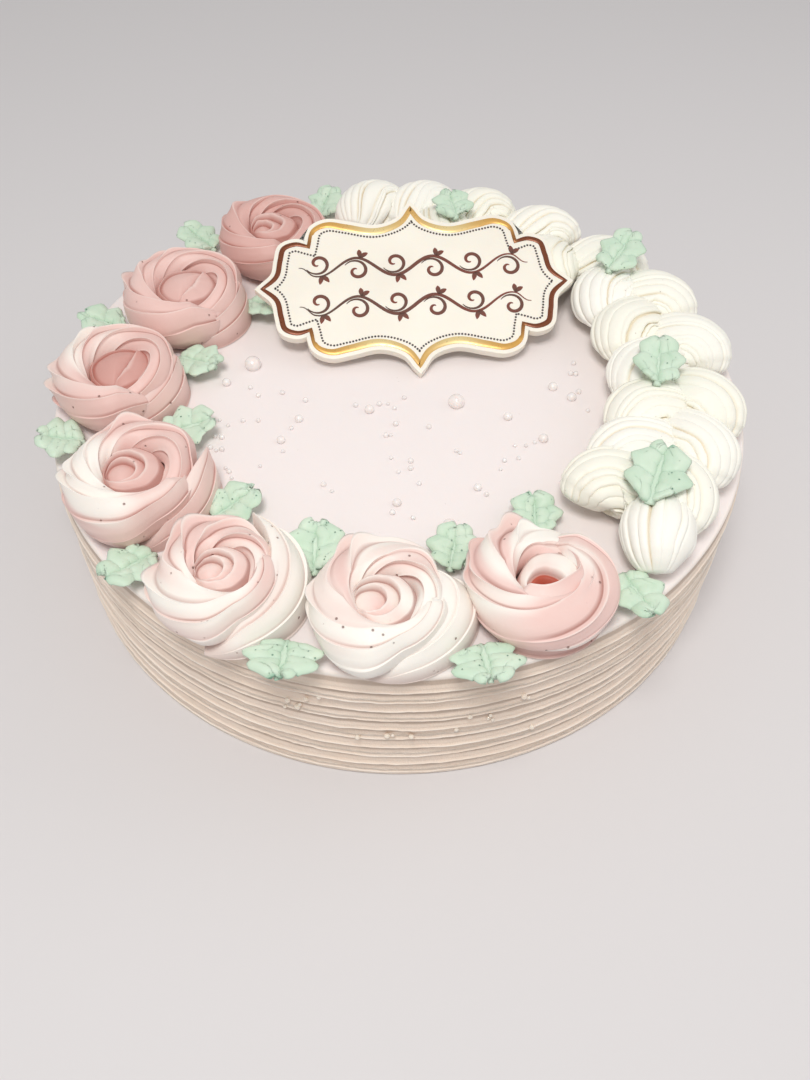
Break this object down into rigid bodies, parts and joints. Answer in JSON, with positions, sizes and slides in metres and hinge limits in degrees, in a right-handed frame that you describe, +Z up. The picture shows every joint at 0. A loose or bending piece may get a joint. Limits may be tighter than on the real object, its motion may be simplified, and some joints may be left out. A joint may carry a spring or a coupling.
{
  "type": "birthday cake",
  "caption": "Round iced layer cake with a combed side, piped rosettes, a piped shell braid, small leaves, sugar pearls and a leaning cartouche plaque.",
  "frame": {"origin": "middle of the cake's flat base, on the surface it stands on", "axes": "+Z up, -Y the front of the cake, +X to its right seen from the front"},
  "size_m": [0.232, 0.235, 0.0848],
  "materials": {
    "icing": "satin pale pink icing",
    "rose_cream_dark": "dusty pink piped cream",
    "rose_cream_light": "pale pink and white piped cream",
    "ivory_cream": "ivory piped cream",
    "mint_cream": "pale mint piped cream",
    "plaque_sugar": "smooth sugar plate with a gilt line"
  },
  "bodies": {
    "root": {"cake": "icing", "rose_1": "rose_cream_dark", "rose_2": "rose_cream_dark", "rose_3": "rose_cream_dark", "rose_4": "rose_cream_light", "rose_5": "rose_cream_light", "rose_6": "rose_cream_light", "rose_7": "rose_cream_light", "braid": "ivory_cream", "leaf_1": "mint_cream", "leaf_2": "mint_cream", "leaf_3": "mint_cream", "leaf_4": "mint_cream", "leaf_5": "mint_cream", "leaf_6": "mint_cream", "leaf_7": "mint_cream", "leaf_8": "mint_cream", "leaf_9": "mint_cream", "leaf_10": "mint_cream", "leaf_11": "mint_cream", "leaf_12": "mint_cream", "leaf_13": "mint_cream", "leaf_14": "mint_cream", "leaf_15": "mint_cream", "leaf_16": "mint_cream", "leaf_17": "mint_cream", "leaf_18": "mint_cream", "leaf_19": "mint_cream", "plaque": "plaque_sugar"}
  },
  "joints": []
}
